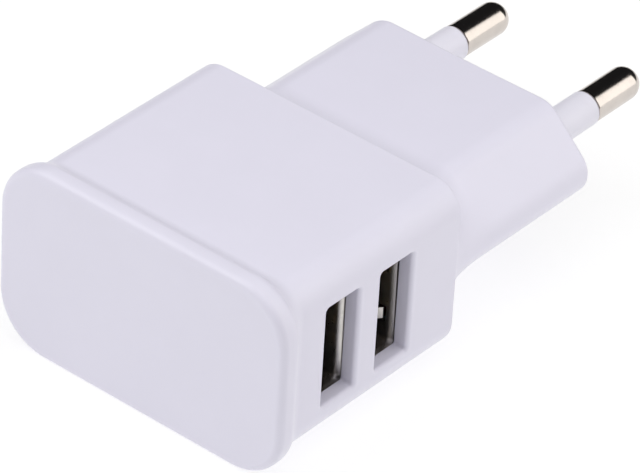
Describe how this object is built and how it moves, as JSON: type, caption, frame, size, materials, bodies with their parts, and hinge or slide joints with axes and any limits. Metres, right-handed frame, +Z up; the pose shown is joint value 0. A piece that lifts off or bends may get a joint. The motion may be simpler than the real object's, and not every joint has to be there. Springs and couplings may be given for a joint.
{
  "type": "usb wall charger",
  "caption": "Wall charger block with a flared front lip, USB-A sockets in one side and a flat plug with round sleeved pins, complete with its inner circuit.",
  "frame": {"origin": "centre of the plug's wall face, midway between the pins", "axes": "+Y along the pins into the wall, +X towards the side with the USB sockets, +Z up"},
  "size_m": [0.0396, 0.0724, 0.024],
  "materials": {
    "case_plastic": "satin gloss moulded plastic",
    "sleeve_plastic": "satin moulded plastic",
    "pin_nickel": "polished nickel plated brass",
    "black_wire": "smooth wire insulation",
    "red_wire": "smooth wire insulation",
    "board": "green solder mask over glass epoxy",
    "solder": "solidified solder",
    "tinned_wire": "tinned copper",
    "resistor_body": "lacquered resistor",
    "mould_compound": "moulded epoxy",
    "capacitor_sleeve": "shrunk sleeve",
    "output_capacitor_sleeve": "shrunk sleeve",
    "drum_sleeve": "shrunk tube",
    "ferrite": "sintered ferrite",
    "bobbin": "moulded phenolic",
    "enamelled_copper": "enamelled copper wire",
    "tape": "polyester tape",
    "disc_lacquer": "dipped lacquer",
    "chip_resistor": "glazed film",
    "socket_steel": "nickel plated steel",
    "socket_plastic": "moulded socket insulator",
    "contact_gold": "gold plated phosphor bronze"
  },
  "bodies": {
    "charger": {"front_housing": "case_plastic", "plug_base": "case_plastic", "left_pin": "pin_nickel", "right_pin": "pin_nickel", "left_pin_sleeve": "sleeve_plastic", "right_pin_sleeve": "sleeve_plastic", "left_wire": "black_wire", "right_wire": "red_wire", "circuit_board": "board", "solder_joints": "solder", "component_leads": "tinned_wire", "fusible_resistor": "resistor_body", "bridge_rectifier": "mould_compound", "input_capacitor_left": "capacitor_sleeve", "input_capacitor_right": "capacitor_sleeve", "filter_inductor": "drum_sleeve", "controller_chip": "mould_compound", "controller_legs": "tinned_wire", "transformer_core": "ferrite", "transformer_bobbin": "bobbin", "transformer_windings": "enamelled_copper", "transformer_tape": "tape", "safety_capacitor": "disc_lacquer", "output_diode": "mould_compound", "output_capacitor_front": "output_capacitor_sleeve", "output_capacitor_rear": "output_capacitor_sleeve", "surface_resistors": "chip_resistor", "usb_front_shell": "socket_steel", "usb_front_insulator": "socket_plastic", "usb_front_tails": "contact_gold", "usb_rear_shell": "socket_steel", "usb_rear_insulator": "socket_plastic", "usb_rear_tails": "contact_gold"},
    "front_port_springs": {"usb_front_springs": "contact_gold"},
    "rear_port_springs": {"usb_rear_springs": "contact_gold"}
  },
  "joints": [
    {"name": "front_contacts_flex", "type": "hinge", "parent": "charger", "child": "front_port_springs", "pos_m": [0.0076, -0.0432, 0], "axis": [0, 0, 1], "range_deg": [-3, 0], "stiffness_Nm_per_rad": 0.12},
    {"name": "rear_contacts_flex", "type": "hinge", "parent": "charger", "child": "rear_port_springs", "pos_m": [0.0076, -0.0345, 0], "axis": [0, 0, 1], "range_deg": [-3, 0], "stiffness_Nm_per_rad": 0.12}
  ]
}
